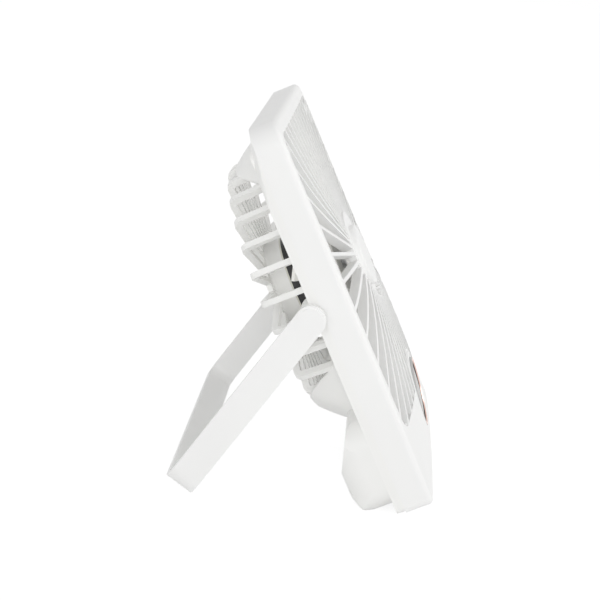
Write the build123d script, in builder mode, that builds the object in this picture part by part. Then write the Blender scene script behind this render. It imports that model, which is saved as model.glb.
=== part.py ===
from build123d import *
from math import acos, atan, cos, degrees, hypot, radians, sin, tan
import os

os.makedirs("parts", exist_ok=True)

# Stance: the plate leans back on its battery housing and on the handle
lean_angle = 27.9
overrun = 1.0
seat_gap = 0.2
moving_gap = 0.3
running_gap = 0.05

# Plate outline and front shell
plate_width = 200.0
plate_height = 230.0
corner_radius = 14.0
foot_corner_radius = 4.0
side_depth = 16.2
bottom_depth = 16.5
edge_radius = 3.2
shell_wall = 2.4
flat_rise = 0.4
crest_height = 60.0
crest_depth = 24.3
hub_crown_depth = 22.0

# Front grille
hub_height = 127.0
grille_border = 5.0
grille_bottom = 44.0
grille_top_border = 9.0
grille_corner = 9.0
front_rib_pitch = 16.5
front_ribs_per_side = 10
front_rib_width = 2.2
front_rib_depth = 6.0
hub_radius = 28.0
hub_thickness = 4.0
hub_seat_depth = 20.9
hub_cap_radius = 19.0
hub_cap_thickness = 3.4
hub_cap_edge = 1.2

# Control ring on the lower panel
ring_height = 35.0
ring_depth = 21.5
ring_slope = 8.0
bezel_radius = 21.5
bezel_wall = 2.2
bezel_proud = 1.5
bezel_depth = 5.5
bezel_flange = 3.0
bezel_flange_thickness = 1.5
bezel_chamfer = 0.8
ring_boss_wall = 4.3
ring_pad_margin = 6.0
button_recess = 1.6
button_face = 2.4
button_wall = 2.2
button_flange = 2.4
button_flange_thickness = 1.5
button_stem_radius = 3.0
button_stem_reach = 1.5
button_travel = 1.0

# Control board behind the button
board_width = 74.0
board_length = 26.0
board_drop = 9.0
board_thickness = 1.6
switch_size = 7.0
switch_height = 4.3
plunger_radius = 1.7
plunger_height = 1.0
board_post_radius = 2.8
board_post_inset = 5.0
screw_radius = 1.2
screw_head_radius = 2.3
screw_head_thickness = 1.4
screw_grip = 5.0

# Rear tray and basket
tray_depth = 5.1
tray_inset = 1.0
tray_top = 219.0
tray_top_radius = 37.0
tray_web = 2.4
basket_radius = 79.3
basket_taper = 1.5
basket_depth = 33.8
basket_corner = 5.5
rear_rib_count = 28
rear_rib_width = 3.4
rear_rib_depth = 4.0
rear_disc_radius = 34.0
mount_wall = 2.5
rear_disc_thickness = 3.0
wire_window_width = 40.0
wire_window_height = 10.0
wire_window_level = 14.0

# Motor, with depths measured back from the parting plane
motor_radius = 27.5
motor_back = 21.0
motor_front = 15.0
motor_plate = 2.5
motor_wall = 1.6
shaft_radius = 1.5
shaft_front = -11.0
bearing_radius = 4.0
bearing_width = 4.0
bearing_tube_wall = 2.0
bearing_tube_front = -0.5
stator_radius = 19.3
stator_back = 16.0
stator_front = 4.0
stator_teeth = 12
stator_slot_width = 2.4
stator_slot_depth = 8.0
rotor_radius = 24.5
rotor_wall = 1.5
rotor_front = -3.0
rotor_back = 14.4
magnet_thickness = 3.0
magnet_length = 11.0

# Impeller
blade_count = 7
blade_tip_radius = 72.3
blade_front = -6.0
blade_back = 12.5
blade_thickness = 1.8
blade_root_share = 0.2
root_pitch = 50.0
tip_pitch = 26.0
impeller_hub_wall = 2.0
impeller_hub_front = -9.0
impeller_hub_back = 14.0
impeller_boss_radius = 5.0
nut_radius = 4.0
nut_thickness = 2.0

# Battery housing
housing_width = 198.0
housing_bottom = 4.9
housing_toe_depth = 14.5
housing_heel_depth = 22.5
housing_depth = 27.2
housing_low_shoulder = 18.0
housing_high_shoulder = 31.0
housing_top = 57.5
housing_top_depth = 13.4
housing_wall = 2.0
housing_end_radius = 14.0
housing_round = 7.0
housing_basket_gap = 1.0
cell_radius = 9.2
cell_length = 65.0
cell_gap = 4.0
cell_height = 21.0
cell_depth = 15.4
cell_cap_radius = 3.0
cell_cap_height = 1.2
cradle_base = 1.6
cradle_width = 9.0
cradle_height = 17.0
cradle_saddle_share = 0.5
socket_width = 9.0
socket_height = 3.3
socket_length = 7.5
socket_wall = 0.4
socket_place = 76.0
socket_level = 24.0
charge_board_width = 12.0
charge_board_length = 18.0
charge_ledge = 2.0
charge_ledge_length = 7.0
socket_sunk = 0.5

# Handle and its pivots
pivot_height = 123.4
pivot_depth = 6.95
strap_width = 16.9
strap_thickness = 3.0
handle_length = 122.4
handle_side_gap = 1.4
handle_corner = 9.0
pin_radius = 3.5
pin_head_radius = 5.2
pin_head_thickness = 1.1
pin_thread_radius = 2.2
pin_thread_length = 9.0
pivot_boss_radius = 6.8
washer_radius = 6.2
washer_thickness = 0.5
cap_radius = 7.0
cap_thickness = 0.8

# Screws that close the covers
post_radius = 4.0
post_reach = 121.0
cover_screw_radius = 1.5
cover_head_radius = 2.8
cover_head_thickness = 1.8
cover_screw_length = 10.0
battery_screw_inset = 9.0
battery_screw_height = 19.5
battery_screw_length = 12.0
battery_post_radius = 3.6
battery_joint_depth = 18.0
battery_boss_floor = 5.0
motor_screw_circle = 22.5
motor_screw_count = 3
motor_post_radius = 3.4

# Directions of the leaning plate and where it stands
lean = radians(lean_angle)
across = Vector(1, 0, 0)
up_plate = Vector(0, sin(lean), cos(lean))
forward = Vector(0, -cos(lean), sin(lean))
half_strap = strap_width / 2
foot_level = housing_bottom * cos(lean) - housing_toe_depth * sin(lean)
pivot_level = pivot_height * cos(lean) - pivot_depth * sin(lean)
handle_reach = hypot(handle_length, half_strap)
handle_swing = lean + atan(half_strap / handle_length) + acos((pivot_level - foot_level) / handle_reach)
toe_y = edge_radius * sin(lean) - (bottom_depth - edge_radius) * cos(lean) - edge_radius
heel_up = pivot_height - handle_length * cos(handle_swing) + half_strap * sin(handle_swing)
heel_back = pivot_depth + handle_length * sin(handle_swing) + half_strap * cos(handle_swing)
heel_y = heel_up * sin(lean) + heel_back * cos(lean)
stand = Vector(0, -(toe_y + heel_y) / 2, -foot_level)
base = Plane(origin=stand, x_dir=across, z_dir=forward)


def point(x, height, depth):
    return base.from_local_coords((x, height, depth))


def level(depth):
    # Plane parallel to the plate, depth measured forward from the parting plane
    return base.offset(depth)


def cross_plane(height):
    # Plane across the plate: local x is width, local y is depth
    return Plane(origin=point(0, height, 0), x_dir=across, z_dir=-up_plate)


def side_plane(x):
    # Plane seen from the side: local x is height, local y is depth
    return Plane(origin=point(x, 0, 0), x_dir=up_plate, z_dir=across)


def spoke_plane(angle):
    # Radial plane of the fan: local x is radius, local y is depth
    spoke = across * cos(radians(angle)) + up_plate * sin(radians(angle))
    return Plane(origin=point(0, hub_height, 0), x_dir=spoke, z_dir=spoke.cross(forward))


def round_face(plane, radius, places=((0, 0),)):
    # One circle at each place on a plane
    with BuildSketch(plane) as face:
        with Locations(*places):
            Circle(radius)
    return face.sketch


def fan_level(depth):
    # Plane parallel to the plate, centred on the fan's axis
    return Plane(origin=point(0, hub_height, depth), x_dir=across, z_dir=forward)


fan_axis = Axis(point(0, hub_height, 0), forward)
half_width = plate_width / 2
ring_normal = forward * cos(radians(ring_slope)) - up_plate * sin(radians(ring_slope))
ring_plane = Plane(origin=point(0, ring_height, ring_depth), x_dir=across, z_dir=ring_normal)
post_places = [(x * post_reach / 2**0.5, y * post_reach / 2**0.5) for x in (-1, 1) for y in (-1, 1)]


def plate_sketch(plane, inset):
    # Outline of the plate, rounder at its top than at its foot, drawn in from its edge
    with BuildSketch(plane) as outline:
        with Locations((0, plate_height / 2)):
            Rectangle(plate_width - 2 * inset, plate_height - 2 * inset)
        fillet(outline.vertices().group_by(Axis.Y)[0], foot_corner_radius - inset)
        fillet(outline.vertices().group_by(Axis.Y)[-1], corner_radius - inset)
    return outline.sketch


def tray_sketch(plane, inset):
    # Outline of the tray's back, lower and rounder at its top than the plate
    with BuildSketch(plane) as outline:
        with Locations((0, (tray_inset + tray_top) / 2)):
            Rectangle(plate_width - 2 * (tray_inset + inset), tray_top - tray_inset - 2 * inset)
        fillet(outline.vertices().group_by(Axis.Y)[0], foot_corner_radius - tray_inset - inset)
        fillet(outline.vertices().group_by(Axis.Y)[-1], tray_top_radius - inset)
    return outline.sketch


def crown(drop):
    # Solid under the gently domed front: flat at both ends, highest above the control ring
    stations = (
        (-overrun, bottom_depth, bottom_depth + flat_rise),
        (crest_height, side_depth, crest_depth),
        (hub_height, side_depth, hub_crown_depth),
        (plate_height + overrun, side_depth, side_depth + flat_rise),
    )
    reach = half_width + overrun
    with BuildPart() as dome:
        for height, edge, middle in stations:
            with BuildSketch(cross_plane(height)):
                with BuildLine():
                    far = (reach, edge - drop)
                    near = (-reach, edge - drop)
                    Polyline(near, (-reach, -overrun), (reach, -overrun), far)
                    ThreePointArc(far, (0, middle - drop), near)
                make_face()
        loft()
    return dome.part


outer_crown = crown(0)
inner_crown = crown(shell_wall)
post_crown = crown(shell_wall / 2)
rib_floor = crown(front_rib_depth)
crown_reach = crest_depth + ring_boss_wall
ring_pad_radius = bezel_radius + ring_pad_margin


def grille_field(plane, margin):
    # The open field of the grille, less the pad round the control ring
    field_top = plate_height - grille_top_border
    with BuildSketch(plane) as field:
        with Locations((0, (grille_bottom + field_top) / 2)):
            RectangleRounded(
                plate_width - 2 * (grille_border - margin),
                field_top - grille_bottom + 2 * margin,
                grille_corner + margin,
            )
        with Locations((0, ring_height)):
            Circle(ring_pad_radius - margin, mode=Mode.SUBTRACT)
    return field.sketch


# Depths behind the control ring, measured back along its axis
bezel_bore = bezel_radius - bezel_wall
bezel_back = bezel_depth + bezel_flange_thickness
button_flange_back = bezel_back + moving_gap + button_flange_thickness
button_stem_end = button_flange_back + button_stem_reach
switch_top = button_stem_end + button_travel + moving_gap
board_front = switch_top + switch_height
board_back = board_front + board_thickness
board_post_x = board_width / 2 - board_post_inset
board_post_y = board_length / 2 - board_post_inset
board_places = [(x * board_post_x, y * board_post_y - board_drop) for x in (-1, 1) for y in (-1, 1)]

# Hollow of the front shell
with BuildPart() as front_hollow:
    extrude(plate_sketch(level(-overrun), shell_wall), amount=crown_reach)
    add(inner_crown, mode=Mode.INTERSECT)

# Ribs spread so that their ends stand evenly along each side of the grille, with one in each corner
rib_reach = hypot(plate_width, plate_height)
rib_places = [index + 0.5 - front_ribs_per_side / 2 for index in range(front_ribs_per_side)]
rib_field = half_width - grille_border
side_angles = [degrees(atan(place * front_rib_pitch / rib_field)) for place in rib_places]
front_rib_angles = [quarter + angle for quarter in (0, 90, 180, 270) for angle in side_angles + [45]]

# Ribs of the front grille, following the dome
with BuildPart() as front_ribs:
    with BuildSketch(fan_level(0)):
        for angle in front_rib_angles:
            with PolarLocations(0, 1, start_angle=angle):
                with Locations((hub_radius - overrun + rib_reach / 2, 0)):
                    Rectangle(rib_reach, front_rib_width)
    extrude(amount=crown_reach)
    extrude(grille_field(level(0), overrun), amount=crown_reach, mode=Mode.INTERSECT)
    add(outer_crown, mode=Mode.INTERSECT)
    add(rib_floor, mode=Mode.SUBTRACT)

# Screw posts inside the front shell
with BuildPart() as front_posts:
    extrude(round_face(fan_level(0), post_radius, post_places), amount=crown_reach)
    extrude(round_face(ring_plane.offset(-board_front), board_post_radius, board_places), amount=board_front)
    add(post_crown, mode=Mode.INTERSECT)

# Front cover: domed shell, grille, control seat and screw posts
with BuildPart() as front_cover:
    extrude(plate_sketch(level(0), 0), amount=crown_reach)
    add(outer_crown, mode=Mode.INTERSECT)
    fillet(front_cover.faces().sort_by(Axis(point(0, 0, 0), forward))[-1].edges(), edge_radius)
    add(front_hollow.part, mode=Mode.SUBTRACT)
    extrude(grille_field(level(0), 0), amount=crown_reach, mode=Mode.SUBTRACT)
    add(front_ribs.part)
    add(front_posts.part)
    extrude(round_face(fan_level(hub_seat_depth), hub_radius), amount=-hub_thickness)
    extrude(round_face(ring_plane.offset(-bezel_depth), bezel_radius + ring_boss_wall), amount=bezel_depth)
    ring_bore = round_face(ring_plane.offset(-crown_reach), bezel_radius + seat_gap)
    extrude(ring_bore, amount=2 * crown_reach, mode=Mode.SUBTRACT)
    cover_pilots = round_face(fan_level(0), cover_screw_radius + running_gap, post_places)
    extrude(cover_pilots, amount=cover_screw_length, mode=Mode.SUBTRACT)
    board_pilots = round_face(ring_plane.offset(-board_front), screw_radius + running_gap, board_places)
    extrude(board_pilots, amount=screw_grip, mode=Mode.SUBTRACT)
front_cover.part.label = "front_cover"
export_step(front_cover.part, "parts/front_cover.step")

# Plain cap on the grille's hub
with BuildPart() as hub_cap:
    extrude(round_face(fan_level(hub_seat_depth), hub_cap_radius), amount=hub_cap_thickness)
    fillet(hub_cap.edges().sort_by(Axis(point(0, 0, 0), forward))[-1], hub_cap_edge)
hub_cap.part.label = "hub_cap"
export_step(hub_cap.part, "parts/hub_cap.step")


def turned(plane, points):
    # Closed profile with radius along the plane's x
    with BuildSketch(plane) as profile:
        with BuildLine():
            Polyline(*points, close=True)
        make_face()
    return profile.sketch


ring_axis = Axis(ring_plane.origin, ring_normal)
ring_section = Plane(origin=ring_plane.origin, x_dir=across, z_dir=across.cross(ring_normal))
bezel_points = (
    (bezel_bore, bezel_proud - bezel_chamfer),
    (bezel_bore + bezel_chamfer, bezel_proud),
    (bezel_radius, bezel_proud),
    (bezel_radius, -bezel_depth),
    (bezel_radius + bezel_flange, -bezel_depth),
    (bezel_radius + bezel_flange, -bezel_back),
    (bezel_bore, -bezel_back),
)

# Metal ring round the power button
with BuildPart() as bezel_ring:
    revolve(turned(ring_section, bezel_points), axis=ring_axis)
bezel_ring.part.label = "bezel_ring"
export_step(bezel_ring.part, "parts/bezel_ring.step")

button_radius = bezel_bore - moving_gap
button_points = (
    (0, -button_recess),
    (button_radius, -button_recess),
    (button_radius, -bezel_back - moving_gap),
    (button_radius + button_flange, -bezel_back - moving_gap),
    (button_radius + button_flange, -button_flange_back),
    (button_radius - button_wall, -button_flange_back),
    (button_radius - button_wall, -button_recess - button_face),
    (button_stem_radius, -button_recess - button_face),
    (button_stem_radius, -button_stem_end),
    (0, -button_stem_end),
)

# Power button: a flanged cup with a stem that meets the switch
with BuildPart() as power_button:
    revolve(turned(ring_section, button_points), axis=ring_axis)
power_button.part.label = "power_button"
export_step(power_button.part, "parts/power_button.step")

# Switch under the button, with its plunger drawn pressed in
with BuildPart() as button_switch:
    with BuildSketch(ring_plane.offset(-board_front)):
        Rectangle(switch_size, switch_size)
    extrude(amount=switch_height - plunger_height)
    plunger = round_face(ring_plane.offset(-switch_top - plunger_height), plunger_radius)
    extrude(plunger, amount=plunger_height)
button_switch.part.label = "button_switch"
export_step(button_switch.part, "parts/button_switch.step")

# Control board on the posts of the front shell
with BuildPart() as control_board:
    with BuildSketch(ring_plane.offset(-board_back)):
        with Locations((0, -board_drop)):
            Rectangle(board_width, board_length)
        with Locations(*board_places):
            Circle(screw_radius + running_gap, mode=Mode.SUBTRACT)
    extrude(amount=board_thickness)
control_board.part.label = "control_board"
export_step(control_board.part, "parts/control_board.step")

# Screws that hold the control board
with BuildPart() as board_screws:
    board_heads = round_face(ring_plane.offset(-board_back), screw_head_radius, board_places)
    extrude(board_heads, amount=-screw_head_thickness)
    extrude(round_face(ring_plane.offset(-board_back), screw_radius, board_places), amount=screw_grip)
board_screws.part.label = "board_screws"
export_step(board_screws.part, "parts/board_screws.step")

# Places of the handle's pivots
boss_end = half_width + handle_side_gap - washer_thickness - moving_gap
arm_inside = half_width + handle_side_gap
arm_outside = arm_inside + strap_thickness
pin_head_seat = arm_outside - pin_head_thickness - moving_gap


def pivot_plane(side, x):
    # Plane across a pivot's axis, facing outward on its side of the fan
    return Plane(origin=point(side * x, pivot_height, -pivot_depth), x_dir=up_plate, z_dir=across * side)


battery_screw_x = housing_width / 2 - battery_screw_inset
battery_places = [(side * battery_screw_x, battery_screw_height) for side in (-1, 1)]
motor_screw_places = [
    (motor_screw_circle * cos(radians(angle)), motor_screw_circle * sin(radians(angle)))
    for angle in range(90, 450, 360 // motor_screw_count)
]
basket_mouth = basket_radius - rear_rib_depth
basket_back_radius = basket_radius - basket_taper
rear_disc_front = basket_depth - rear_disc_thickness


def basket_rib(angle):
    # One rib: back from the tray, round the corner and in to the rear disc
    root = -tray_depth + tray_web
    inner_end = rear_disc_radius - overrun
    inner_back = -basket_depth + rear_rib_depth
    with BuildSketch(spoke_plane(angle)) as rib:
        with BuildLine():
            outside = FilletPolyline(
                (basket_radius, root),
                (basket_back_radius, -basket_depth),
                (inner_end, -basket_depth),
                radius=basket_corner,
            )
            inside = FilletPolyline(
                (basket_radius - rear_rib_depth, root),
                (basket_back_radius - rear_rib_depth, inner_back),
                (inner_end, inner_back),
                radius=basket_corner - rear_rib_depth,
            )
            Line(outside @ 0, inside @ 0)
            Line(outside @ 1, inside @ 1)
        make_face()
    return rib.sketch


# Rear cover: tray, ribbed basket, motor mount, screw posts and pivot bosses
with BuildPart() as rear_cover:
    loft([tray_sketch(level(-tray_depth), 0), plate_sketch(level(0), tray_inset)])
    extrude(tray_sketch(level(0), shell_wall), amount=tray_web - tray_depth, mode=Mode.SUBTRACT)
    extrude(round_face(fan_level(0), post_radius + overrun, post_places), amount=-tray_depth)
    with BuildSketch(level(-tray_depth)):
        with Locations((0, wire_window_level)):
            RectangleRounded(wire_window_width, wire_window_height, wire_window_height / 4)
    extrude(amount=tray_depth, mode=Mode.SUBTRACT)
    extrude(round_face(fan_level(0), basket_radius), amount=-tray_depth)
    for side in (-1, 1):
        boss = round_face(pivot_plane(side, basket_mouth), pivot_boss_radius)
        extrude(boss, amount=boss_end - basket_mouth)
    extrude(round_face(fan_level(0), basket_mouth), amount=-tray_depth, mode=Mode.SUBTRACT)
    rib_angles = [360 * (index + 0.5) / rear_rib_count for index in range(rear_rib_count)]
    half_rib = rear_rib_width / 2
    add([extrude(basket_rib(angle), amount=half_rib, both=True, mode=Mode.PRIVATE) for angle in rib_angles])
    extrude(round_face(fan_level(-basket_depth), rear_disc_radius), amount=rear_disc_thickness)
    extrude(round_face(fan_level(-rear_disc_front), motor_radius), amount=rear_disc_front - motor_back)
    extrude(
        round_face(fan_level(-rear_disc_front), motor_radius - mount_wall),
        amount=rear_disc_front - motor_back,
        mode=Mode.SUBTRACT,
    )
    extrude(
        round_face(fan_level(-rear_disc_front), motor_post_radius, motor_screw_places),
        amount=rear_disc_front - motor_back,
    )
    motor_bores = round_face(fan_level(-basket_depth), screw_radius + running_gap, motor_screw_places)
    extrude(motor_bores, amount=basket_depth - motor_back, mode=Mode.SUBTRACT)
    motor_sinks = round_face(fan_level(-basket_depth), screw_head_radius + seat_gap, motor_screw_places)
    extrude(motor_sinks, amount=screw_head_thickness + seat_gap, mode=Mode.SUBTRACT)
    extrude(
        round_face(level(-tray_depth), battery_post_radius, battery_places),
        amount=tray_depth - battery_joint_depth,
    )
    battery_pilots = round_face(level(-battery_joint_depth), screw_radius + running_gap, battery_places)
    extrude(battery_pilots, amount=battery_screw_length, mode=Mode.SUBTRACT)
    cover_bores = round_face(fan_level(0), cover_screw_radius + running_gap, post_places)
    extrude(cover_bores, amount=-tray_depth, mode=Mode.SUBTRACT)
    cover_sinks = round_face(fan_level(-tray_depth), cover_head_radius + seat_gap, post_places)
    extrude(cover_sinks, amount=cover_head_thickness + seat_gap, mode=Mode.SUBTRACT)
    for side in (-1, 1):
        pin_pilot = round_face(pivot_plane(side, boss_end), pin_thread_radius + running_gap)
        extrude(pin_pilot, amount=-pin_thread_length, mode=Mode.SUBTRACT)
rear_cover.part.label = "rear_cover"
export_step(rear_cover.part, "parts/rear_cover.step")

# Depth of the seat under the cover screws' heads
cover_head_seat = tray_depth - cover_head_thickness - seat_gap

# Screws that join the two covers
with BuildPart() as cover_screws:
    cover_heads = round_face(fan_level(-cover_head_seat), cover_head_radius, post_places)
    extrude(cover_heads, amount=-cover_head_thickness)
    cover_shanks = round_face(fan_level(-cover_head_seat), cover_screw_radius, post_places)
    extrude(cover_shanks, amount=cover_screw_length)
cover_screws.part.label = "cover_screws"
export_step(cover_screws.part, "parts/cover_screws.step")

section = spoke_plane(0)
tube_radius = bearing_radius + bearing_tube_wall
bearing_bore = bearing_radius + running_gap
plate_front = motor_back - motor_plate
base_points = (
    (bearing_bore, -motor_back),
    (motor_radius, -motor_back),
    (motor_radius, -motor_front),
    (motor_radius - motor_wall, -motor_front),
    (motor_radius - motor_wall, -plate_front),
    (tube_radius, -plate_front),
    (tube_radius, -bearing_tube_front),
    (bearing_bore, -bearing_tube_front),
)

# Motor base: black cup with the bearing tube, screwed to the rear cover's mount
with BuildPart() as motor_base:
    revolve(turned(section, base_points), axis=fan_axis)
    base_bores = round_face(fan_level(-motor_back), screw_radius + running_gap, motor_screw_places)
    extrude(base_bores, amount=motor_plate, mode=Mode.SUBTRACT)
motor_base.part.label = "motor_base"
export_step(motor_base.part, "parts/motor_base.step")

# Two bearings at the ends of the tube
with BuildPart() as bearings:
    for depth in (-motor_back, -bearing_tube_front - bearing_width):
        extrude(round_face(fan_level(depth), bearing_radius), amount=bearing_width)
    shaft_bore = round_face(fan_level(-motor_back), shaft_radius + running_gap)
    extrude(shaft_bore, amount=motor_back - bearing_tube_front, mode=Mode.SUBTRACT)
bearings.part.label = "bearings"
export_step(bearings.part, "parts/bearings.step")

# Shaft through both bearings
with BuildPart() as motor_shaft:
    extrude(round_face(fan_level(-motor_back), shaft_radius), amount=motor_back - shaft_front)
motor_shaft.part.label = "motor_shaft"
export_step(motor_shaft.part, "parts/motor_shaft.step")

# Slotted stator on the bearing tube
with BuildPart() as stator:
    extrude(round_face(fan_level(-stator_back), stator_radius), amount=stator_back - stator_front)
    stator_bore = round_face(fan_level(-stator_back), tube_radius + running_gap)
    extrude(stator_bore, amount=stator_back - stator_front, mode=Mode.SUBTRACT)
    with BuildSketch(fan_level(-stator_back)):
        with PolarLocations(stator_radius - stator_slot_depth / 2 + overrun / 2, stator_teeth):
            Rectangle(stator_slot_depth + overrun, stator_slot_width)
    extrude(amount=stator_back - stator_front, mode=Mode.SUBTRACT)
stator.part.label = "stator"
export_step(stator.part, "parts/stator.step")

shaft_hole = shaft_radius + running_gap
rotor_points = (
    (shaft_hole, -rotor_front),
    (rotor_radius, -rotor_front),
    (rotor_radius, -rotor_back),
    (rotor_radius - rotor_wall, -rotor_back),
    (rotor_radius - rotor_wall, -rotor_front - rotor_wall),
    (shaft_hole, -rotor_front - rotor_wall),
)

# Rotor can that turns round the stator
with BuildPart() as rotor_can:
    revolve(turned(section, rotor_points), axis=fan_axis)
rotor_can.part.label = "rotor_can"
export_step(rotor_can.part, "parts/rotor_can.step")

# Magnet ring inside the rotor can
with BuildPart() as rotor_magnet:
    magnet_face = round_face(fan_level(-rotor_back), rotor_radius - rotor_wall)
    extrude(magnet_face, amount=magnet_length)
    magnet_bore = round_face(fan_level(-rotor_back), rotor_radius - rotor_wall - magnet_thickness)
    extrude(magnet_bore, amount=magnet_length, mode=Mode.SUBTRACT)
rotor_magnet.part.label = "rotor_magnet"
export_step(rotor_magnet.part, "parts/rotor_magnet.step")

impeller_bore = rotor_radius + seat_gap
impeller_hub_radius = impeller_bore + impeller_hub_wall
hub_face = impeller_hub_front + impeller_hub_wall
impeller_points = (
    (shaft_hole, -impeller_hub_front),
    (impeller_hub_radius, -impeller_hub_front),
    (impeller_hub_radius, -impeller_hub_back),
    (impeller_bore, -impeller_hub_back),
    (impeller_bore, -hub_face),
    (impeller_boss_radius, -hub_face),
    (impeller_boss_radius, -rotor_front),
    (shaft_hole, -rotor_front),
)
blade_middle = -(blade_front + blade_back) / 2
blade_span = blade_back - blade_front


def blade_section(angle, radius, pitch):
    # Thin slanted rectangle across a blade at one radius
    spoke = across * cos(radians(angle)) + up_plate * sin(radians(angle))
    centre = point(0, hub_height, blade_middle) + spoke * radius
    with BuildSketch(Plane(origin=centre, x_dir=forward, z_dir=spoke)) as slice:
        Rectangle(blade_span / sin(radians(pitch)), blade_thickness, rotation=90 - pitch)
    return slice.sketch


# Twisted blades, trimmed round at their tips
with BuildPart() as blades:
    for index in range(blade_count):
        angle = 360 * index / blade_count
        root = blade_section(angle, impeller_bore + impeller_hub_wall * blade_root_share, root_pitch)
        tip = blade_section(angle, blade_tip_radius + overrun, tip_pitch)
        loft([root, tip])
    extrude(
        round_face(fan_level(-basket_depth), blade_tip_radius),
        amount=basket_depth + crown_reach,
        mode=Mode.INTERSECT,
    )

# Impeller: cup over the rotor with the blades round it
with BuildPart() as impeller:
    revolve(turned(section, impeller_points), axis=fan_axis)
    add(blades.part)
impeller.part.label = "impeller"
export_step(impeller.part, "parts/impeller.step")

# Nut that holds the impeller on the shaft
with BuildPart() as impeller_nut:
    with BuildSketch(fan_level(-impeller_hub_front)):
        RegularPolygon(nut_radius, 6)
        Circle(shaft_hole, mode=Mode.SUBTRACT)
    extrude(amount=nut_thickness)
impeller_nut.part.label = "impeller_nut"
export_step(impeller_nut.part, "parts/impeller_nut.step")

# Screws that hold the motor base to the rear cover
motor_head_seat = basket_depth - screw_head_thickness - seat_gap
with BuildPart() as motor_screws:
    extrude(
        round_face(fan_level(-motor_head_seat), screw_head_radius, motor_screw_places),
        amount=-screw_head_thickness,
    )
    motor_shanks = round_face(fan_level(-motor_head_seat), screw_radius, motor_screw_places)
    extrude(motor_shanks, amount=motor_head_seat - plate_front)
motor_screws.part.label = "motor_screws"
export_step(motor_screws.part, "parts/motor_screws.step")

# Outline of the battery housing from the side, with its flat foot in the plane of the table
heel_height = housing_bottom + (housing_heel_depth - housing_toe_depth) * tan(lean)
housing_points = (
    (housing_bottom, -tray_depth),
    (housing_bottom, -housing_toe_depth),
    (heel_height, -housing_heel_depth),
    (housing_low_shoulder, -housing_depth),
    (housing_high_shoulder, -housing_depth),
    (housing_top, -housing_top_depth),
    (housing_top, -tray_depth),
)
housing_rise = housing_top - housing_bottom
housing_middle = (housing_top + housing_bottom) / 2


def housing_block(inset):
    # The housing's form, or its hollow where drawn in by the wall and open to the tray
    with BuildSketch(side_plane(0)) as profile:
        with BuildLine():
            shape = FilletPolyline(*housing_points, radius=housing_round)
            Line(shape @ 1, shape @ 0)
        make_face()
        if inset:
            offset(amount=-inset, kind=Kind.INTERSECTION)
            with Locations((housing_middle, -tray_depth - inset / 2)):
                Rectangle(housing_rise - 2 * inset, inset + overrun)
    with BuildSketch(cross_plane(0)) as ends:
        RectangleRounded(housing_width - 2 * inset, 2 * (housing_depth - inset), housing_end_radius - inset)
    with BuildSketch(level(0)) as plan:
        with Locations((0, housing_middle)):
            RectangleRounded(housing_width - 2 * inset, housing_rise - 2 * inset, housing_end_radius - inset)
    with BuildPart() as block:
        extrude(profile.sketch, amount=housing_width / 2, both=True)
        extrude(ends.sketch, amount=-housing_top, mode=Mode.INTERSECT)
        extrude(plan.sketch, amount=-housing_depth, mode=Mode.INTERSECT)
        basket_clear = round_face(fan_level(0), basket_radius + housing_basket_gap + inset)
        extrude(basket_clear, amount=-housing_depth, mode=Mode.SUBTRACT)
    return block.part


housing_form = housing_block(0)
battery_head_seat = battery_joint_depth + battery_boss_floor
charge_board_top = socket_level - socket_height / 2
charge_board_back = housing_depth - housing_wall - seat_gap

# Screw bosses and the ledge of the charging board, kept inside the housing's form
with BuildPart() as housing_bosses:
    extrude(
        round_face(level(-battery_joint_depth), battery_post_radius, battery_places),
        amount=battery_joint_depth - housing_depth,
    )
    with BuildSketch(level(-housing_depth)):
        with Locations((socket_place, charge_board_top - board_thickness - charge_ledge / 2)):
            Rectangle(charge_board_width, charge_ledge)
    extrude(amount=housing_wall + charge_ledge_length)
    add(housing_form, mode=Mode.INTERSECT)

# Battery cover: hollow housing on which the fan rests
with BuildPart() as battery_cover:
    add(housing_form)
    add(housing_block(housing_wall), mode=Mode.SUBTRACT)
    add(housing_bosses.part)
    extrude(
        round_face(level(-battery_joint_depth), screw_radius + running_gap, battery_places),
        amount=battery_joint_depth - housing_depth,
        mode=Mode.SUBTRACT,
    )
    extrude(
        round_face(level(-battery_head_seat), screw_head_radius + seat_gap, battery_places),
        amount=battery_head_seat - housing_depth,
        mode=Mode.SUBTRACT,
    )
    with BuildSketch(level(-housing_depth)):
        with Locations((socket_place, socket_level)):
            Rectangle(socket_width + 2 * seat_gap, socket_height + 2 * seat_gap)
    extrude(amount=housing_wall + overrun, mode=Mode.SUBTRACT)
battery_cover.part.label = "battery_cover"
export_step(battery_cover.part, "parts/battery_cover.step")

# Screws of the battery cover
with BuildPart() as battery_screws:
    extrude(
        round_face(level(-battery_head_seat), screw_head_radius, battery_places),
        amount=-screw_head_thickness,
    )
    extrude(round_face(level(-battery_head_seat), screw_radius, battery_places), amount=battery_screw_length)
battery_screws.part.label = "battery_screws"
export_step(battery_screws.part, "parts/battery_screws.step")


def cell_plane(x):
    # Plane across the battery cells' axis
    return Plane(origin=point(x, cell_height, -cell_depth), x_dir=up_plate, z_dir=across)


# Two round cells end to end, each with its raised pole
cell_starts = (-cell_length - cell_gap / 2, cell_gap / 2)
with BuildPart() as battery_cells:
    for start in cell_starts:
        extrude(round_face(cell_plane(start), cell_radius), amount=cell_length)
        extrude(round_face(cell_plane(start + cell_length), cell_cap_radius), amount=cell_cap_height)
battery_cells.part.label = "battery_cells"
export_step(battery_cells.part, "parts/battery_cells.step")

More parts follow.
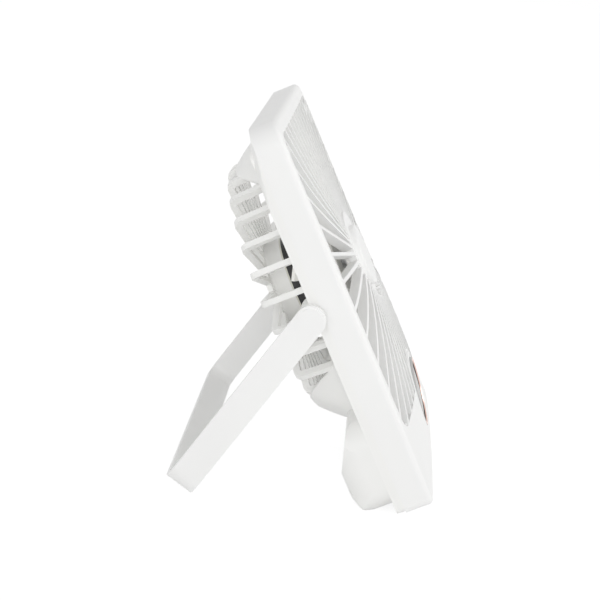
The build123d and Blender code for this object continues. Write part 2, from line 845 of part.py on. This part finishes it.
# Cradle between the tray and the cells: a base with two saddles under each cell
cradle_top = cell_depth - tray_depth
with BuildPart() as battery_cradle:
    with BuildSketch(level(-tray_depth)):
        with Locations((0, cell_height)):
            Rectangle(2 * cell_length + cell_gap, cradle_height)
    extrude(amount=-cradle_base)
    with BuildSketch(level(-tray_depth)):
        for start in cell_starts:
            for share in (cradle_saddle_share / 2, 1 - cradle_saddle_share / 2):
                with Locations((start + cell_length * share, cell_height)):
                    Rectangle(cradle_width, cradle_height)
    extrude(amount=-cradle_top)
    cell_room = round_face(cell_plane(cell_starts[0] - overrun), cell_radius + seat_gap)
    extrude(cell_room, amount=2 * (cell_length + cell_gap), mode=Mode.SUBTRACT)
battery_cradle.part.label = "battery_cradle"
export_step(battery_cradle.part, "parts/battery_cradle.step")

# Charging board on its ledge
with BuildPart() as charge_board:
    with BuildSketch(level(-charge_board_back)):
        with Locations((socket_place, charge_board_top - board_thickness / 2)):
            Rectangle(charge_board_width, board_thickness)
    extrude(amount=charge_board_length)
charge_board.part.label = "charge_board"
export_step(charge_board.part, "parts/charge_board.step")

# Charging socket: a thin rounded shell open to the back
socket_back = housing_depth - socket_sunk
with BuildPart() as usb_socket:
    with BuildSketch(level(-socket_back)):
        with Locations((socket_place, socket_level)):
            RectangleRounded(socket_width, socket_height, socket_height / 3)
    extrude(amount=socket_length)
    with BuildSketch(level(-socket_back)):
        with Locations((socket_place, socket_level)):
            RectangleRounded(
                socket_width - 2 * socket_wall,
                socket_height - 2 * socket_wall,
                socket_height / 3 - socket_wall,
            )
    extrude(amount=socket_length - socket_wall, mode=Mode.SUBTRACT)
usb_socket.part.label = "usb_socket"
export_step(usb_socket.part, "parts/usb_socket.step")

# Directions of the handle as it stands
arm_way = -up_plate * cos(handle_swing) - forward * sin(handle_swing)
pivot_centre = point(0, pivot_height, -pivot_depth)
bail_plane = Plane(origin=pivot_centre, x_dir=across, z_dir=across.cross(arm_way))
arm_plane = Plane(origin=pivot_centre, x_dir=arm_way, z_dir=across)
bail_inside = handle_length - strap_thickness

# Handle: flat strap bent to a U, rounded at its pivots
with BuildPart() as handle:
    with BuildSketch(bail_plane):
        with BuildLine():
            outside = FilletPolyline(
                (-arm_outside, -half_strap),
                (-arm_outside, handle_length),
                (arm_outside, handle_length),
                (arm_outside, -half_strap),
                radius=handle_corner,
            )
            inside = FilletPolyline(
                (-arm_inside, -half_strap),
                (-arm_inside, bail_inside),
                (arm_inside, bail_inside),
                (arm_inside, -half_strap),
                radius=handle_corner - strap_thickness,
            )
            Line(outside @ 0, inside @ 0)
            Line(outside @ 1, inside @ 1)
        make_face()
    extrude(amount=half_strap, both=True)
    with BuildSketch(arm_plane):
        Circle(half_strap)
        with Locations((handle_length / 2, 0)):
            Rectangle(handle_length, strap_width)
    extrude(amount=arm_outside, both=True, mode=Mode.INTERSECT)
    for side in (-1, 1):
        pin_bore = round_face(pivot_plane(side, arm_inside), pin_radius + running_gap)
        extrude(pin_bore, amount=strap_thickness, mode=Mode.SUBTRACT)
        head_room = round_face(pivot_plane(side, pin_head_seat - moving_gap), pin_head_radius + moving_gap)
        extrude(head_room, amount=strap_thickness, mode=Mode.SUBTRACT)
handle.part.label = "handle"
export_step(handle.part, "parts/handle.step")

# Shoulder screws on which the handle swings
with BuildPart() as pivot_pins:
    for side in (-1, 1):
        extrude(round_face(pivot_plane(side, boss_end), pin_thread_radius), amount=-pin_thread_length)
        extrude(round_face(pivot_plane(side, boss_end), pin_radius), amount=pin_head_seat - boss_end)
        extrude(round_face(pivot_plane(side, pin_head_seat), pin_head_radius), amount=pin_head_thickness)
pivot_pins.part.label = "pivot_pins"
export_step(pivot_pins.part, "parts/pivot_pins.step")

# Washers between the bosses and the handle
with BuildPart() as pivot_washers:
    for side in (-1, 1):
        extrude(round_face(pivot_plane(side, boss_end), washer_radius), amount=washer_thickness)
        washer_bore = round_face(pivot_plane(side, boss_end), pin_radius + running_gap)
        extrude(washer_bore, amount=washer_thickness, mode=Mode.SUBTRACT)
pivot_washers.part.label = "pivot_washers"
export_step(pivot_washers.part, "parts/pivot_washers.step")

# Round caps over the pivots
with BuildPart() as pivot_caps:
    for side in (-1, 1):
        extrude(round_face(pivot_plane(side, arm_outside), cap_radius), amount=cap_thickness)
pivot_caps.part.label = "pivot_caps"
export_step(pivot_caps.part, "parts/pivot_caps.step")
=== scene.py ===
from collections import namedtuple
from math import cos, pi, radians, sin

import bmesh
import bpy
from mathutils import Matrix, Vector


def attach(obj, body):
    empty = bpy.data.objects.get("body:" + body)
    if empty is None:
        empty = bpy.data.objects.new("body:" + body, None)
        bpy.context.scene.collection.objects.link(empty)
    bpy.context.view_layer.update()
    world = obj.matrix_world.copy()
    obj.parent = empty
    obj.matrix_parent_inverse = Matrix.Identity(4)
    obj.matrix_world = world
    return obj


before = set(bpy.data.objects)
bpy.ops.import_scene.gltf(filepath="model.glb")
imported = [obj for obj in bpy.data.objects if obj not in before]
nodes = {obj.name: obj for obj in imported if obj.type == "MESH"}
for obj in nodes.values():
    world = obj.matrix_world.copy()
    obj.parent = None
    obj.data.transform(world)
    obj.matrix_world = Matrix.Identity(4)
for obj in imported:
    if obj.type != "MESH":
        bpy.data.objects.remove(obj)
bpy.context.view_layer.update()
scene = bpy.context.scene
scene.view_settings.view_transform = "Standard"

# The leaning plate's frame, as in the part's source
LEAN = radians(27.9)
PLATE_FOOT = Vector((0.0, -0.06125, 0.00245))
ACROSS = Vector((1.0, 0.0, 0.0))
UP_PLATE = Vector((0.0, sin(LEAN), cos(LEAN)))
FORWARD = Vector((0.0, -cos(LEAN), sin(LEAN)))
HUB_HEIGHT = 0.127
HUB = PLATE_FOOT + UP_PLATE * HUB_HEIGHT

# The button's ring on the sloping lower panel
RING_SLOPE = radians(8.0)
RING_HEIGHT = 0.035
RING_REACH = 0.0215
RING_NORMAL = FORWARD * cos(RING_SLOPE) - UP_PLATE * sin(RING_SLOPE)
RING_UP = RING_NORMAL.cross(ACROSS)
RING_MIDDLE = PLATE_FOOT + UP_PLATE * RING_HEIGHT + FORWARD * RING_REACH

# Camera at the photograph's angle
CAMERA_PLACE = Vector((-0.90542, -0.01940, 0.32435))
CAMERA_TARGET = Vector((-0.00458, 0.01313, 0.09394))
CAMERA_ROLL = radians(5.641)
CAMERA_LENS = 92.564
SENSOR_WIDTH = 36.0
CLIP_START = 0.01


def aimed(place, target, roll=0.0):
    """The matrix of a camera or lamp at one place that faces another."""
    turn = (target - place).to_track_quat("-Z", "Y").to_matrix().to_4x4()
    return Matrix.Translation(place) @ turn @ Matrix.Rotation(roll, 4, "Z")


camera_data = bpy.data.cameras.new("camera")
camera_data.lens = CAMERA_LENS
camera_data.sensor_width = SENSOR_WIDTH
camera_data.clip_start = CLIP_START
camera = bpy.data.objects.new("camera", camera_data)
camera.matrix_world = aimed(CAMERA_PLACE, CAMERA_TARGET, CAMERA_ROLL)
scene.collection.objects.link(camera)
scene.camera = camera


def srgb(tint):
    """A linear colour from sRGB parts of 0 to 255."""
    parts = [((part / 255 + 0.055) / 1.055) ** 2.4 for part in tint]
    return (*parts, 1.0)


def grey(value):
    return (value, value, value, 1.0)


class Finish:
    """A Principled material whose colour, roughness and bump vary over the surface."""

    # The levels of noise between which roughness and colour change
    ROUGH_FROM = 0.3
    ROUGH_TO = 0.7
    TINT_FROM = 0.35
    TINT_TO = 0.65

    def __init__(self, name, metallic=0.0, coat=0.0, coat_roughness=0.1, level=0.5):
        self.material = bpy.data.materials.new(name)
        self.material.use_nodes = True
        self.tree = self.material.node_tree
        self.inputs = self.tree.nodes["Principled BSDF"].inputs
        self.inputs["Metallic"].default_value = metallic
        self.inputs["Coat Weight"].default_value = coat
        self.inputs["Coat Roughness"].default_value = coat_roughness
        self.inputs["Specular IOR Level"].default_value = level
        self.place = self.node("ShaderNodeTexCoord").outputs["Object"]
        self.normal = None

    def node(self, kind, **values):
        made = self.tree.nodes.new(kind)
        for key, value in values.items():
            setattr(made, key, value)
        return made

    def link(self, source, target):
        self.tree.links.new(source, target)

    def noise(self, scale, detail=2.0, stretch=None):
        where = self.place
        if stretch:
            mapping = self.node("ShaderNodeMapping")
            mapping.inputs["Scale"].default_value = stretch
            self.link(where, mapping.inputs["Vector"])
            where = mapping.outputs["Vector"]
        texture = self.node("ShaderNodeTexNoise")
        texture.inputs["Scale"].default_value = scale
        texture.inputs["Detail"].default_value = detail
        self.link(where, texture.inputs["Vector"])
        return texture.outputs["Fac"]

    def colour(self, source, first, second):
        ramp = self.node("ShaderNodeValToRGB")
        ramp.color_ramp.elements[0].position = self.TINT_FROM
        ramp.color_ramp.elements[0].color = srgb(first)
        ramp.color_ramp.elements[1].position = self.TINT_TO
        ramp.color_ramp.elements[1].color = srgb(second)
        self.link(source, ramp.inputs["Fac"])
        self.link(ramp.outputs["Color"], self.inputs["Base Color"])

    def roughness(self, source, low, high):
        spread = self.node("ShaderNodeMapRange")
        spread.inputs["From Min"].default_value = self.ROUGH_FROM
        spread.inputs["From Max"].default_value = self.ROUGH_TO
        spread.inputs["To Min"].default_value = low
        spread.inputs["To Max"].default_value = high
        self.link(source, spread.inputs["Value"])
        self.link(spread.outputs["Result"], self.inputs["Roughness"])

    def bump(self, source, strength, distance):
        relief = self.node("ShaderNodeBump")
        relief.inputs["Strength"].default_value = strength
        relief.inputs["Distance"].default_value = distance
        self.link(source, relief.inputs["Height"])
        if self.normal:
            self.link(self.normal, relief.inputs["Normal"])
        self.normal = relief.outputs["Normal"]
        self.link(self.normal, self.inputs["Normal"])

    def vector_step(self, kind, first, second=(0.0, 0.0, 0.0), output="Vector"):
        step = self.node("ShaderNodeVectorMath", operation=kind)
        self.link(first, step.inputs[0])
        step.inputs[1].default_value = second
        return step.outputs[output]

    def compare(self, kind, source, level, margin=0.0):
        """1 where the source is above, below or within a margin of the level, else 0."""
        step = self.node("ShaderNodeMath", operation=kind)
        self.link(source, step.inputs[0])
        step.inputs[1].default_value = level
        step.inputs[2].default_value = margin
        return step.outputs[0]

    def paint_where(self, mask, tint):
        """Lays a plain unplated colour over the finish where the mask is 1."""
        mixed = self.node("ShaderNodeMix", data_type="RGBA")
        under = self.inputs["Base Color"].links[0].from_socket
        self.link(mask, mixed.inputs["Factor"])
        self.link(under, mixed.inputs["A"])
        mixed.inputs["B"].default_value = srgb(tint)
        self.link(mixed.outputs["Result"], self.inputs["Base Color"])
        bare = self.node("ShaderNodeMath", operation="SUBTRACT", use_clamp=True)
        metallic = self.inputs["Metallic"]
        bare.inputs[0].default_value = metallic.default_value
        if metallic.links:
            self.link(metallic.links[0].from_socket, bare.inputs[0])
        self.link(mask, bare.inputs[1])
        self.link(bare.outputs[0], metallic)


def moulded(name, first, second, rough, grain):
    """Injection-moulded plastic: fine spark-eroded grain, soft flow marks and a hint of waviness."""
    finish = Finish(name)
    finish.colour(finish.noise(scale=28.0, detail=3.0, stretch=(1.0, 0.6, 0.4)), first, second)
    finish.roughness(finish.noise(scale=95.0, detail=3.0), *rough)
    finish.bump(finish.noise(scale=60.0, detail=1.0), strength=0.12, distance=0.00004)
    finish.bump(finish.noise(scale=2600.0), strength=grain, distance=0.00002)
    return finish.material


def metal(name, first, second, rough, scale, stretch, strength):
    """Metal with tool marks drawn out along the directions that stretch makes small."""
    finish = Finish(name, metallic=1.0)
    marks = finish.noise(scale, detail=3.0, stretch=stretch)
    finish.colour(finish.noise(scale=220.0, detail=3.0), first, second)
    finish.roughness(marks, *rough)
    finish.bump(marks, strength, distance=0.00001)
    return finish.material


def plated_ring(outer_wall=0.02135, painted_shade_radius=0.0195):
    """Rose gold between two radii of the ring. Its outer wall is grey like the button; inside the inner
    radius, near-black painted shade stands in for the shadowed gap between ring and button.
    """
    finish = Finish("rose_gold", metallic=1.0)
    turning = finish.noise(scale=900.0)
    finish.colour(finish.noise(scale=60.0), (222, 190, 179), (230, 200, 190))
    finish.roughness(turning, 0.14, 0.24)
    finish.bump(turning, strength=0.06, distance=0.00001)
    from_middle = finish.vector_step("SUBTRACT", finish.place, RING_MIDDLE)
    off_axis = finish.vector_step("CROSS_PRODUCT", from_middle, RING_NORMAL)
    radius = finish.vector_step("LENGTH", off_axis, output="Value")
    finish.paint_where(finish.compare("GREATER_THAN", radius, outer_wall), (196, 196, 195))
    # Painted shade: near-black inside the inner radius for the shadowed gap between the ring and the button
    finish.paint_where(finish.compare("LESS_THAN", radius, painted_shade_radius), (20, 18, 18))
    return finish.material


def button_gloss():
    """Smooth grey plastic with a slight ripple."""
    finish = Finish("button_grey", level=0.25)
    finish.colour(finish.noise(scale=40.0), (174, 174, 173), (182, 182, 181))
    finish.roughness(finish.noise(scale=500.0), 0.16, 0.26)
    finish.bump(finish.noise(scale=140.0, detail=1.0), strength=0.04, distance=0.00003)
    return finish.material


def motor_lacquer(band_middle=-0.0105, band_reach=0.0095):
    """Lacquered black in a band round the motor's middle, pale at both ends."""
    finish = Finish("motor_black", coat=0.25, coat_roughness=0.2)
    finish.colour(finish.noise(scale=300.0, detail=3.0), (18, 18, 18), (34, 33, 32))
    finish.roughness(finish.noise(scale=180.0), 0.30, 0.48)
    finish.bump(finish.noise(scale=1500.0), strength=0.2, distance=0.00003)
    from_foot = finish.vector_step("SUBTRACT", finish.place, PLATE_FOOT)
    reach = finish.vector_step("DOT_PRODUCT", from_foot, FORWARD, "Value")
    band = finish.compare("COMPARE", reach, band_middle, band_reach)
    finish.paint_where(finish.compare("LESS_THAN", band, 0.5), (226, 224, 214))
    return finish.material


def circuit_board():
    """Green solder mask over a pattern of tracks."""
    finish = Finish("board_green", coat=0.4, coat_roughness=0.15)
    tracks = finish.node("ShaderNodeTexBrick")
    tracks.inputs["Scale"].default_value = 240.0
    finish.link(finish.place, tracks.inputs["Vector"])
    finish.colour(tracks.outputs["Fac"], (22, 84, 50), (38, 112, 68))
    finish.roughness(finish.noise(scale=400.0), 0.25, 0.4)
    finish.bump(tracks.outputs["Fac"], strength=0.2, distance=0.00003)
    return finish.material


shell_white = moulded("shell_white", (251, 251, 250), (253, 253, 252), rough=(0.42, 0.52), grain=0.25)
rib_white = moulded("rib_white", (251, 251, 249), (254, 254, 252), rough=(0.40, 0.50), grain=0.18)
housing_white = moulded("housing_white", (248, 248, 246), (251, 251, 249), rough=(0.36, 0.46), grain=0.20)
strap_white = moulded("strap_white", (250, 250, 249), (253, 253, 252), rough=(0.34, 0.44), grain=0.15)
blade_white = moulded("blade_white", (250, 249, 245), (253, 252, 248), rough=(0.30, 0.40), grain=0.10)
trim_black = moulded("trim_black", (24, 24, 24), (32, 32, 31), rough=(0.45, 0.60), grain=0.30)
cell_blue = moulded("cell_blue", (40, 92, 150), (48, 102, 160), rough=(0.18, 0.28), grain=0.05)
steel = metal(
    "steel", (188, 188, 190), (208, 208, 209),
    rough=(0.22, 0.42), scale=1200.0, stretch=(1.0, 0.1, 1.0), strength=0.12,
)
magnet_grey = metal(
    "magnet_grey", (92, 92, 94), (116, 116, 118),
    rough=(0.45, 0.65), scale=900.0, stretch=(1.0, 1.0, 1.0), strength=0.3,
)
stator_copper = metal(
    "stator_copper", (142, 96, 62), (178, 122, 84),
    rough=(0.35, 0.5), scale=700.0, stretch=(1.0, 0.2, 1.0), strength=0.3,
)
button_grey = button_gloss()

FINISHES = {
    shell_white: ["front_cover", "hub_cap"],
    rib_white: ["rear_cover"],
    housing_white: ["battery_cover"],
    strap_white: ["handle", "pivot_caps"],
    blade_white: ["impeller"],
    plated_ring(): ["bezel_ring"],
    button_grey: ["power_button"],
    motor_lacquer(): ["motor_base", "rotor_can"],
    trim_black: ["button_switch", "battery_cradle", "pivot_washers"],
    steel: [
        "motor_shaft", "bearings", "impeller_nut", "board_screws", "cover_screws",
        "battery_screws", "motor_screws", "usb_socket", "pivot_pins",
    ],
    magnet_grey: ["rotor_magnet"],
    stator_copper: ["stator"],
    circuit_board(): ["control_board", "charge_board"],
    cell_blue: ["battery_cells"],
}
for material, names in FINISHES.items():
    for name in names:
        slots = nodes[name].data.materials
        slots.clear()
        slots.append(material)


def swept(name, rings, material, body):
    """Adds a smooth closed mesh through rings of points, capped at its first and last ring."""
    mesh = bpy.data.meshes.new(name)
    count = len(rings[0])
    corners = [point for ring in rings for point in ring]
    faces = []
    for row in range(len(rings) - 1):
        here, there = row * count, (row + 1) * count
        for step in range(count):
            after = (step + 1) % count
            faces.append((here + step, here + after, there + after, there + step))
    faces.append(tuple(range(count)))
    faces.append(tuple(range(len(corners) - count, len(corners))))
    mesh.from_pydata(corners, [], faces)
    shape = bmesh.new()
    shape.from_mesh(mesh)
    bmesh.ops.recalc_face_normals(shape, faces=shape.faces)
    shape.to_mesh(mesh)
    shape.free()
    mesh.materials.append(material)
    mesh.shade_smooth()
    piece = bpy.data.objects.new(name, mesh)
    scene.collection.objects.link(piece)
    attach(piece, body)


# Closed shoulders above and below the rear basket, between its ribs and the tray.
# Each runs from one angle round the hub to another, in degrees, and fades out at both ends.
Shoulder = namedtuple("Shoulder", "start end fade base_radius tip_depth")
SHOULDERS = {
    "shoulder_top": Shoulder(start=48, end=132, fade=28, base_radius=0.0915, tip_depth=0.0262),
    "shoulder_low": Shoulder(start=204, end=336, fade=24, base_radius=0.0985, tip_depth=0.0315),
}
BASKET_RADIUS = 0.0797
TIP_RADIUS = 0.0787
TRAY_BACK = 0.0048
SHOULDER_WALL = 0.0016
SHOULDER_BULGE = 0.0013
SECTION_STEPS = 8
DEGREES_APART = 2
LEAST_SHARE = 0.03


def shoulder_section(shoulder, angle, rise):
    """The closed outline of a shoulder at one angle, from the tray to the tip and back inside."""
    spoke = ACROSS * cos(angle) + UP_PLATE * sin(angle)
    wide = BASKET_RADIUS + (shoulder.base_radius - BASKET_RADIUS) * rise
    deep = TRAY_BACK + (shoulder.tip_depth - TRAY_BACK) * rise
    outer = []
    for step in range(SECTION_STEPS + 1):
        share = step / SECTION_STEPS
        bulge = SHOULDER_BULGE * rise * 4 * share * (1 - share)
        radius = wide + (TIP_RADIUS - wide) * share + bulge
        outer.append((radius, TRAY_BACK + (deep - TRAY_BACK) * share))
    tip = (TIP_RADIUS - SHOULDER_WALL / 2, deep + SHOULDER_WALL / 2 * rise)
    inner = [(radius - SHOULDER_WALL, depth) for radius, depth in reversed(outer)]
    return [HUB + spoke * radius - FORWARD * depth for radius, depth in (*outer, tip, *inner)]


for name, shoulder in SHOULDERS.items():
    sections = []
    for angle in range(shoulder.start, shoulder.end + 1, DEGREES_APART):
        from_end = min(angle - shoulder.start, shoulder.end - angle)
        share = max(LEAST_SHARE, min(1.0, from_end / shoulder.fade))
        rise = share * share * (3 - 2 * share)
        sections.append(shoulder_section(shoulder, radians(angle), rise))
    swept(name, sections, rib_white, "housing")

# Glossy lens on the button, up to the ring's edge: radius and height of its circles
LENS_PROFILE = (
    (0.0188, -0.0015), (0.0188, -0.0003), (0.0186, -0.0001), (0.0178, 0.0002), (0.0160, 0.0005),
    (0.0130, 0.0008), (0.0095, 0.0011), (0.0050, 0.0014), (0.0020, 0.0015),
)
LENS_SIDES = 96
turns = [2 * pi * step / LENS_SIDES for step in range(LENS_SIDES)]
spokes = [ACROSS * cos(turn) + RING_UP * sin(turn) for turn in turns]
circles = [
    [RING_MIDDLE + spoke * radius + RING_NORMAL * height for spoke in spokes]
    for radius, height in LENS_PROFILE
]
swept("button_lens", circles, button_grey, "button")


def direct_ray(tree):
    """1 where a camera, glossy or transmission ray asks, else 0."""
    path = tree.nodes.new("ShaderNodeLightPath")
    answer = path.outputs["Is Camera Ray"]
    for kind in ("Is Glossy Ray", "Is Transmission Ray"):
        either = tree.nodes.new("ShaderNodeMath")
        either.operation = "MAXIMUM"
        tree.links.new(answer, either.inputs[0])
        tree.links.new(path.outputs[kind], either.inputs[1])
        answer = either.outputs[0]
    return answer


# Pale floor, white to the camera and in reflections, that still takes a soft shadow
FLOOR_SIZE = 12.0
FLOOR_GLOW = 0.86
FLOOR_SHADE = 0.26
FLOOR_BOUNCE = 0.9


def floor_finish():
    material = bpy.data.materials.new("floor_pale")
    material.use_nodes = True
    tree = material.node_tree
    tree.nodes.clear()
    output = tree.nodes.new("ShaderNodeOutputMaterial")
    choose = tree.nodes.new("ShaderNodeMixShader")
    seen = tree.nodes.new("ShaderNodeAddShader")
    glow = tree.nodes.new("ShaderNodeEmission")
    shade = tree.nodes.new("ShaderNodeBsdfDiffuse")
    bounce = tree.nodes.new("ShaderNodeBsdfDiffuse")
    glow.inputs["Strength"].default_value = FLOOR_GLOW
    shade.inputs["Color"].default_value = grey(FLOOR_SHADE)
    bounce.inputs["Color"].default_value = grey(FLOOR_BOUNCE)
    tree.links.new(direct_ray(tree), choose.inputs["Fac"])
    tree.links.new(glow.outputs[0], seen.inputs[0])
    tree.links.new(shade.outputs[0], seen.inputs[1])
    tree.links.new(bounce.outputs[0], choose.inputs[1])
    tree.links.new(seen.outputs[0], choose.inputs[2])
    tree.links.new(choose.outputs[0], output.inputs["Surface"])
    return material


bpy.ops.mesh.primitive_plane_add(size=FLOOR_SIZE, location=(0.0, 0.0, 0.0))
floor = bpy.context.object
floor.name = "floor"
floor.data.materials.append(floor_finish())

# Surroundings at full white for the camera and reflections, and dimmer as light on the object
BACKDROP = 1.0
HORIZON = 0.78
ZENITH = 0.48


def studio():
    world = bpy.data.worlds.new("studio")
    world.use_nodes = True
    tree = world.node_tree
    towards = tree.nodes.new("ShaderNodeTexCoord")
    height = tree.nodes.new("ShaderNodeSeparateXYZ")
    ambient = tree.nodes.new("ShaderNodeMapRange")
    ambient.inputs["To Min"].default_value = HORIZON
    ambient.inputs["To Max"].default_value = ZENITH
    level = tree.nodes.new("ShaderNodeMapRange")
    level.inputs["To Max"].default_value = BACKDROP
    background = tree.nodes["Background"]
    background.inputs["Color"].default_value = grey(1.0)
    tree.links.new(towards.outputs["Generated"], height.inputs["Vector"])
    tree.links.new(height.outputs["Z"], ambient.inputs["Value"])
    tree.links.new(ambient.outputs["Result"], level.inputs["To Min"])
    tree.links.new(direct_ray(tree), level.inputs["Value"])
    tree.links.new(level.outputs["Result"], background.inputs["Strength"])
    return world


scene.world = studio()

# Softboxes, each with the share of white that it puts on a surface facing it
Softbox = namedtuple("Softbox", "place size share")
SOFTBOX_TARGET = Vector((0.0, 0.0, 0.1))
SOFTBOXES = {
    "key": Softbox(place=Vector((-1.75, -0.07, 0.53)), size=0.5, share=0.15),
    "fill": Softbox(place=Vector((-1.3, 1.1, 0.2)), size=1.4, share=0.08),
    "front": Softbox(place=Vector((-0.25, -1.5, 1.0)), size=1.2, share=0.22),
}
for name, softbox in SOFTBOXES.items():
    lamp = bpy.data.lights.new(name, "AREA")
    lamp.shape = "DISK"
    lamp.size = softbox.size
    lamp.energy = softbox.share * (pi * (softbox.place - SOFTBOX_TARGET).length) ** 2
    holder = bpy.data.objects.new(name, lamp)
    holder.matrix_world = aimed(softbox.place, SOFTBOX_TARGET)
    scene.collection.objects.link(holder)

bpy.context.view_layer.update()
